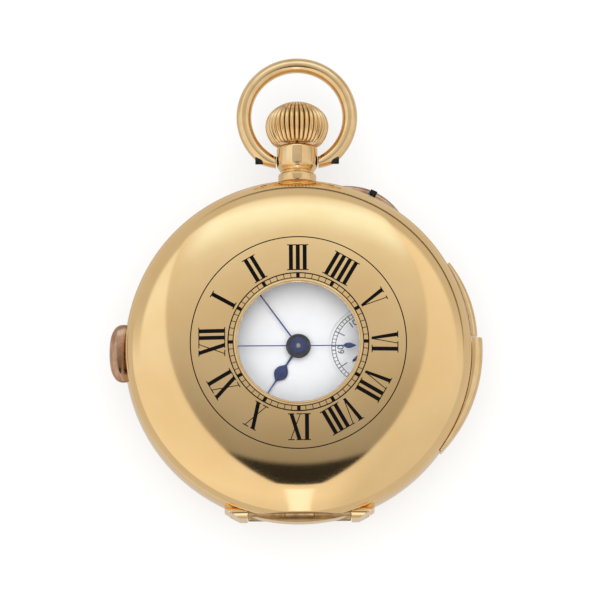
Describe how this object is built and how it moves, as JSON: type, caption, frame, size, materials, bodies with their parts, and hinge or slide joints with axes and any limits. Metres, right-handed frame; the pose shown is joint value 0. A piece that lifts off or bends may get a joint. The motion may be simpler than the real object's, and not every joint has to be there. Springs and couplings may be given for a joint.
{
  "type": "hunter pocket watch",
  "caption": "Half-hunter keyless pocket watch with round case, hinged covers, bow, fluted crown, repeater slide and chronograph button over an enamel dial.",
  "frame": {"origin": "centre of the flat rest face of the back cover", "axes": "+Z out of the dial and front cover, +Y towards the crown and bow, +X towards the repeater slide"},
  "size_m": [0.059, 0.0753, 0.018],
  "materials": {
    "gold": "polished",
    "rose_gold": "polished",
    "gilt": "matt gilt",
    "steel": "polished",
    "blued_steel": "heat blued",
    "black_steel": "blackened",
    "enamel": "fired white enamel",
    "glass": "polished",
    "ruby": "polished synthetic ruby"
  },
  "bodies": {
    "case": {"mid_band": "gold", "hinge_pins": "steel", "pendant": "gold", "bow_screws": "black_steel", "glass_bezel": "gold", "dial_crystal": "glass", "slide_track": "gold", "set_pin_guard": "rose_gold", "main_plate": "gilt", "barrel_bridge": "gilt", "train_bridge": "gilt", "balance_cock": "gilt", "plate_screws": "steel", "case_screws": "steel", "jewels": "ruby", "gong_block": "steel", "gongs": "steel", "lift_spring": "steel", "lock_spring": "steel", "dial": "enamel", "seconds_subdial": "enamel", "hairspring": "blued_steel"},
    "front_cover": {"front_cover": "gold", "aperture_bezel": "gold", "cover_glass": "glass"},
    "back_cover": {"back_cover": "gold"},
    "cuvette": {"cuvette": "gold"},
    "bow": {"bow": "gold"},
    "stem_slide": {"stem_collar": "steel"},
    "crown": {"crown": "gold", "winding_stem": "steel"},
    "slide": {"repeater_slide": "gold"},
    "pusher": {"chrono_pusher": "rose_gold"},
    "set_pin": {"set_pin": "steel"},
    "barrel": {"barrel": "gilt", "mainspring": "steel"},
    "barrel_arbor": {"barrel_arbor": "steel", "ratchet_wheel": "steel"},
    "winding_idler": {"winding_idler": "steel"},
    "crown_wheel": {"crown_wheel": "steel"},
    "winding_pinion": {"winding_pinion": "steel"},
    "click": {"click": "steel"},
    "centre": {"centre_wheel": "gilt", "cannon_pinion": "steel", "minute_hand": "blued_steel"},
    "hour": {"hour_wheel": "gilt", "hour_hand": "blued_steel"},
    "minute_wheel": {"minute_wheel": "gilt"},
    "third": {"third_wheel": "gilt"},
    "fourth": {"fourth_wheel": "gilt", "seconds_hand": "blued_steel"},
    "escape": {"escape_wheel": "steel"},
    "pallet": {"pallet_lever": "steel"},
    "balance": {"balance_wheel": "gilt"},
    "chrono": {"chrono_runner": "gilt", "chrono_hand": "blued_steel"},
    "hour_hammer": {"hour_hammer": "steel"},
    "minute_hammer": {"minute_hammer": "steel"},
    "column_wheel": {"column_wheel": "steel"},
    "operating_lever": {"operating_lever": "steel"}
  },
  "joints": [
    {"name": "front_cover_hinge", "type": "hinge", "parent": "case", "child": "front_cover", "pos_m": [0, -0.026, 0.01115], "axis": [1, 0, 0], "range_deg": [0, 90]},
    {"name": "back_cover_hinge", "type": "hinge", "parent": "case", "child": "back_cover", "pos_m": [0, -0.026, 0.00725], "axis": [-1, 0, 0], "range_deg": [0, 90]},
    {"name": "cuvette_hinge", "type": "hinge", "parent": "case", "child": "cuvette", "pos_m": [0, -0.0236, 0.0057], "axis": [-1, 0, 0], "range_deg": [0, 80]},
    {"name": "bow_swing", "type": "hinge", "parent": "case", "child": "bow", "pos_m": [0, 0.0312, 0.0092], "axis": [1, 0, 0], "range_deg": [-90, 90]},
    {"name": "crown_press", "type": "slide", "parent": "case", "child": "stem_slide", "axis": [0, -1, 0], "range_m": [0, 0.0005], "stiffness_N_per_m": 800, "springref_m": -0.0005},
    {"name": "crown_turn", "type": "hinge", "parent": "stem_slide", "child": "crown", "pos_m": [0, 0.03, 0.0092], "axis": [0, 1, 0], "continuous": true},
    {"name": "repeater_slide_turn", "type": "hinge", "parent": "case", "child": "slide", "pos_m": [0, 0, 0.0092], "axis": [0, 0, 1], "range_deg": [0, 18], "stiffness_Nm_per_rad": 0.05, "springref_deg": -11.46},
    {"name": "chrono_push", "type": "slide", "parent": "case", "child": "pusher", "axis": [1, 0, 0], "range_m": [0, 0.0008], "stiffness_N_per_m": 600, "springref_m": -0.0006},
    {"name": "set_pin_push", "type": "slide", "parent": "case", "child": "set_pin", "axis": [-0.4258, -0.9048, 0], "range_m": [0, 0.0004], "stiffness_N_per_m": 300, "springref_m": -0.0006},
    {"name": "operating_lever_turn", "type": "hinge", "parent": "case", "child": "operating_lever", "pos_m": [-0.0204, 0.0074, 0.0092], "axis": [0, 0, 1], "range_deg": [0, 6]},
    {"name": "column_wheel_turn", "type": "hinge", "parent": "case", "child": "column_wheel", "pos_m": [-0.018, -0.003, 0.008], "axis": [0, 0, -1], "range_deg": [0, 31]},
    {"name": "centre_spin", "type": "hinge", "parent": "case", "child": "centre", "pos_m": [0, 0, 0.009], "axis": [0, 0, -1], "continuous": true},
    {"name": "hour_spin", "type": "hinge", "parent": "case", "child": "hour", "pos_m": [0, 0, 0.0123], "axis": [0, 0, -1], "continuous": true},
    {"name": "minute_wheel_spin", "type": "hinge", "parent": "case", "child": "minute_wheel", "pos_m": [0, 0.00408, 0.012], "axis": [0, 0, -1], "continuous": true},
    {"name": "third_spin", "type": "hinge", "parent": "case", "child": "third", "pos_m": [0.00622, -0.00285, 0.008], "axis": [0, 0, -1], "continuous": true},
    {"name": "fourth_spin", "type": "hinge", "parent": "case", "child": "fourth", "pos_m": [0.01125, 0, 0.008], "axis": [0, 0, -1], "continuous": true},
    {"name": "escape_spin", "type": "hinge", "parent": "case", "child": "escape", "pos_m": [0.01294, -0.00465, 0.009], "axis": [0, 0, -1], "continuous": true},
    {"name": "barrel_spin", "type": "hinge", "parent": "case", "child": "barrel", "pos_m": [-0.00693, 0.004, 0.007], "axis": [0, 0, -1], "continuous": true},
    {"name": "barrel_arbor_spin", "type": "hinge", "parent": "case", "child": "barrel_arbor", "pos_m": [-0.00693, 0.004, 0.005], "axis": [0, 0, -1], "continuous": true},
    {"name": "winding_idler_spin", "type": "hinge", "parent": "case", "child": "winding_idler", "pos_m": [-0.00282, 0.00942, 0.004], "axis": [0, 0, -1], "continuous": true},
    {"name": "crown_wheel_spin", "type": "hinge", "parent": "case", "child": "crown_wheel", "pos_m": [0, 0.0146, 0.005], "axis": [0, 0, -1], "continuous": true},
    {"name": "winding_pinion_spin", "type": "hinge", "parent": "case", "child": "winding_pinion", "pos_m": [0, 0.0176, 0.0092], "axis": [0, 1, 0], "continuous": true},
    {"name": "click_turn", "type": "hinge", "parent": "case", "child": "click", "pos_m": [-0.01252, 0.00869, 0.004], "axis": [0, 0, 1], "range_deg": [0, 8]},
    {"name": "pallet_swing", "type": "hinge", "parent": "case", "child": "pallet", "pos_m": [0.01042, -0.00693, 0.009], "axis": [0, 0, -1], "range_deg": [-5, 5]},
    {"name": "balance_swing", "type": "hinge", "parent": "case", "child": "balance", "pos_m": [0.0035, -0.0132, 0.008], "axis": [0, 0, -1], "range_deg": [-270, 270], "stiffness_Nm_per_rad": 0.0000032},
    {"name": "chrono_spin", "type": "hinge", "parent": "case", "child": "chrono", "pos_m": [0, 0, 0.01], "axis": [0, 0, -1], "continuous": true},
    {"name": "hour_hammer_swing", "type": "hinge", "parent": "case", "child": "hour_hammer", "pos_m": [-0.01722, -0.00803, 0.007], "axis": [0, 0, -1], "range_deg": [0, 8]},
    {"name": "minute_hammer_swing", "type": "hinge", "parent": "case", "child": "minute_hammer", "pos_m": [-0.01286, -0.01532, 0.008], "axis": [0, 0, -1], "range_deg": [0, 8]}
  ],
  "couplings": [
    {"joint": "cuvette_hinge", "follows": "back_cover_hinge", "ratio": 0.85},
    {"joint": "operating_lever_turn", "follows": "chrono_push", "rad_per_m": 120.5},
    {"joint": "column_wheel_turn", "follows": "chrono_push", "rad_per_m": 654.5},
    {"joint": "centre_spin", "follows": "fourth_spin", "ratio": 0.016667},
    {"joint": "hour_spin", "follows": "fourth_spin", "ratio": 0.0013889},
    {"joint": "minute_wheel_spin", "follows": "fourth_spin", "ratio": -0.0055556},
    {"joint": "third_spin", "follows": "fourth_spin", "ratio": -0.13333},
    {"joint": "escape_spin", "follows": "fourth_spin", "ratio": -10},
    {"joint": "barrel_spin", "follows": "fourth_spin", "ratio": -0.0029412},
    {"joint": "winding_pinion_spin", "follows": "crown_turn", "ratio": 1},
    {"joint": "crown_wheel_spin", "follows": "crown_turn", "ratio": -0.46667},
    {"joint": "winding_idler_spin", "follows": "crown_turn", "ratio": 0.73043},
    {"joint": "barrel_arbor_spin", "follows": "crown_turn", "ratio": -0.37333}
  ]
}
